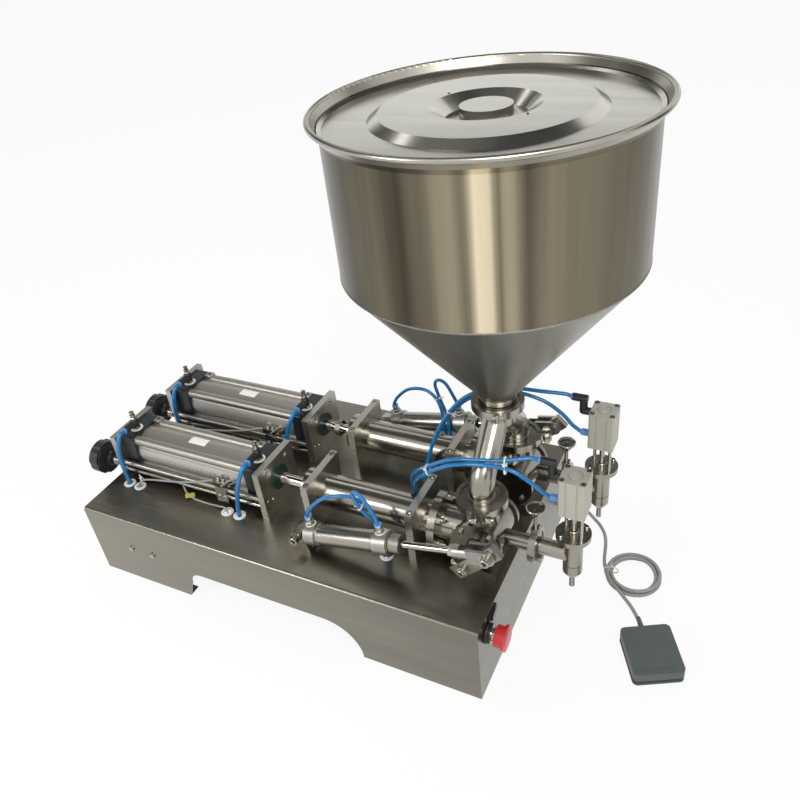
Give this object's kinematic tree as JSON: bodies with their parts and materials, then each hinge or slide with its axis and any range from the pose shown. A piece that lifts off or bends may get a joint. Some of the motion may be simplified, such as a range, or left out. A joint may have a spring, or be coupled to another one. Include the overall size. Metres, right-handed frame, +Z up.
{
  "type": "piston filling machine",
  "caption": "Bench-top piston filling machine: folded steel base, two pneumatic dosing heads with rotary valves and shut-off nozzles, a lidded conical hopper and a corded foot switch.",
  "frame": {"origin": "on the floor under the middle of the machine's length and width, from the hopper's rim in front to the adjusting knobs behind, without the foot switch and its cord", "axes": "+Y from the filling nozzles towards the adjusting knobs, +Z up, +X towards the right-hand head"},
  "size_m": [0.446, 1.0576, 0.816],
  "materials": {
    "brushed_steel": "brushed",
    "polished_steel": "polished",
    "aluminium": "satin anodised",
    "black_plastic": "satin",
    "black_alloy": "satin",
    "green_ring": "satin",
    "blue_tube": "gloss",
    "white_plastic": "satin",
    "grey_plastic": "satin",
    "grey_cord": "satin",
    "red_plastic": "gloss"
  },
  "bodies": {
    "machine": {"base_shell": "brushed_steel", "valve_manifolds": "aluminium", "air_inlet": "aluminium", "deck_grommets": "white_plastic", "hopper_drum": "brushed_steel", "hopper_funnel": "brushed_steel", "pipe_clamps": "polished_steel", "feed_manifold": "polished_steel", "switch_collars": "black_plastic", "cord_gland": "black_plastic", "foot_cord": "grey_cord", "foot_cord_coil": "grey_cord", "foot_switch_base": "grey_plastic", "drive_rear_plates": "aluminium", "drive_front_plates": "aluminium", "drive_heads": "black_alloy", "rod_gland_rings": "green_ring", "drive_barrels": "aluminium", "scale_rulers": "white_plastic", "guide_rods": "polished_steel", "barrel_sensors": "black_plastic", "lower_clamps": "aluminium", "upper_clamps": "aluminium", "socket_screws": "polished_steel", "product_barrels": "polished_steel", "flange_bolts": "polished_steel", "valve_bodies": "polished_steel", "valve_covers": "brushed_steel", "valve_stands": "brushed_steel", "actuator_brackets": "brushed_steel", "outlet_clamps": "polished_steel", "air_fittings": "black_alloy", "drive_air_tubes": "blue_tube", "nozzle_air_tubes": "blue_tube", "actuator_air_tubes": "blue_tube", "sensor_leads": "grey_cord", "nozzle_cylinders": "aluminium", "nozzle_bodies": "polished_steel"},
    "hopper_lid": {"hopper_lid": "polished_steel"},
    "estop_button": {"estop_button": "red_plastic"},
    "power_rocker": {"power_rocker": "black_plastic"},
    "foot_treadle": {"foot_switch_treadle": "grey_plastic"},
    "left_piston": {"left_piston_rod": "polished_steel", "left_product_piston": "polished_steel"},
    "left_adjuster": {"left_adjuster": "black_plastic"},
    "left_carriage": {"left_sensor_carriage": "aluminium"},
    "left_valve": {"left_valve_rotor": "polished_steel", "left_crank": "polished_steel"},
    "left_actuator": {"left_actuator_barrel": "brushed_steel"},
    "left_actuator_rod": {"left_actuator_rod": "polished_steel"},
    "left_needle": {"left_nozzle_needle": "polished_steel"},
    "right_piston": {"right_piston_rod": "polished_steel", "right_product_piston": "polished_steel"},
    "right_adjuster": {"right_adjuster": "black_plastic"},
    "right_carriage": {"right_sensor_carriage": "aluminium"},
    "right_valve": {"right_valve_rotor": "polished_steel", "right_crank": "polished_steel"},
    "right_actuator": {"right_actuator_barrel": "brushed_steel"},
    "right_actuator_rod": {"right_actuator_rod": "polished_steel"},
    "right_needle": {"right_nozzle_needle": "polished_steel"}
  },
  "joints": [
    {"name": "left_piston_slide", "type": "slide", "parent": "machine", "child": "left_piston", "axis": [0, 1, 0], "range_m": [-0.09, 0.06]},
    {"name": "left_adjuster_turn", "type": "hinge", "parent": "machine", "child": "left_adjuster", "pos_m": [-0.1205, 0.466, 0.186], "axis": [0, -1, 0], "range_deg": [0, 13500]},
    {"name": "left_carriage_slide", "type": "slide", "parent": "machine", "child": "left_carriage", "axis": [0, 1, 0], "range_m": [0, 0.15], "deforming": ["sensor_leads"]},
    {"name": "left_valve_turn", "type": "hinge", "parent": "machine", "child": "left_valve", "pos_m": [-0.155, -0.2705, 0.205], "axis": [-1, 0, 0], "range_deg": [0, 90]},
    {"name": "left_actuator_swing", "type": "hinge", "parent": "machine", "child": "left_actuator", "pos_m": [-0.155, 0.0125, 0.178], "axis": [-1, 0, 0], "range_deg": [0, 3.54], "deforming": ["actuator_air_tubes"]},
    {"name": "left_actuator_stroke", "type": "slide", "parent": "left_actuator", "child": "left_actuator_rod", "axis": [0, -0.9797, 0.2005], "range_m": [-0.07572, 0]},
    {"name": "left_needle_lift", "type": "slide", "parent": "machine", "child": "left_needle", "axis": [0, 0, 1], "range_m": [0, 0.01]},
    {"name": "right_piston_slide", "type": "slide", "parent": "machine", "child": "right_piston", "axis": [0, 1, 0], "range_m": [-0.125, 0.025]},
    {"name": "right_adjuster_turn", "type": "hinge", "parent": "machine", "child": "right_adjuster", "pos_m": [0.0335, 0.466, 0.186], "axis": [0, -1, 0], "range_deg": [0, 13500]},
    {"name": "right_carriage_slide", "type": "slide", "parent": "machine", "child": "right_carriage", "axis": [0, 1, 0], "range_m": [0, 0.15], "deforming": ["sensor_leads"]},
    {"name": "right_valve_turn", "type": "hinge", "parent": "machine", "child": "right_valve", "pos_m": [0.155, -0.2705, 0.205], "axis": [-1, 0, 0], "range_deg": [0, 90]},
    {"name": "right_actuator_swing", "type": "hinge", "parent": "machine", "child": "right_actuator", "pos_m": [0.155, 0.0125, 0.178], "axis": [-1, 0, 0], "range_deg": [0, 3.54], "deforming": ["actuator_air_tubes"]},
    {"name": "right_actuator_stroke", "type": "slide", "parent": "right_actuator", "child": "right_actuator_rod", "axis": [0, -0.9797, 0.2005], "range_m": [-0.07572, 0]},
    {"name": "right_needle_lift", "type": "slide", "parent": "machine", "child": "right_needle", "axis": [0, 0, 1], "range_m": [0, 0.01]},
    {"name": "hopper_lid_lift", "type": "slide", "parent": "machine", "child": "hopper_lid", "axis": [0, 0, 1], "range_m": [0, 0.15]},
    {"name": "estop_press", "type": "slide", "parent": "machine", "child": "estop_button", "axis": [0, 1, 0], "range_m": [0, 0.005], "stiffness_N_per_m": 1500, "springref_m": -0.001},
    {"name": "power_rocker_rock", "type": "hinge", "parent": "machine", "child": "power_rocker", "pos_m": [-0.166, -0.3115, 0.1365], "axis": [0, 0, -1], "range_deg": [0, 16]},
    {"name": "foot_treadle_press", "type": "hinge", "parent": "machine", "child": "foot_treadle", "pos_m": [-0.02687, -0.5115, 0.014], "axis": [0.4571, -0.8894, 0], "range_deg": [0, 4], "stiffness_Nm_per_rad": 12, "springref_deg": -2.86}
  ],
  "couplings": [
    {"joint": "left_carriage_slide", "follows": "left_adjuster_turn", "m_per_rad": 0.00063662},
    {"joint": "left_actuator_swing", "follows": "left_valve_turn", "ratio": 0.039299},
    {"joint": "left_actuator_stroke", "follows": "left_valve_turn", "m_per_rad": -0.048203},
    {"joint": "right_carriage_slide", "follows": "right_adjuster_turn", "m_per_rad": 0.00063662},
    {"joint": "right_actuator_swing", "follows": "right_valve_turn", "ratio": 0.039299},
    {"joint": "right_actuator_stroke", "follows": "right_valve_turn", "m_per_rad": -0.048203}
  ]
}
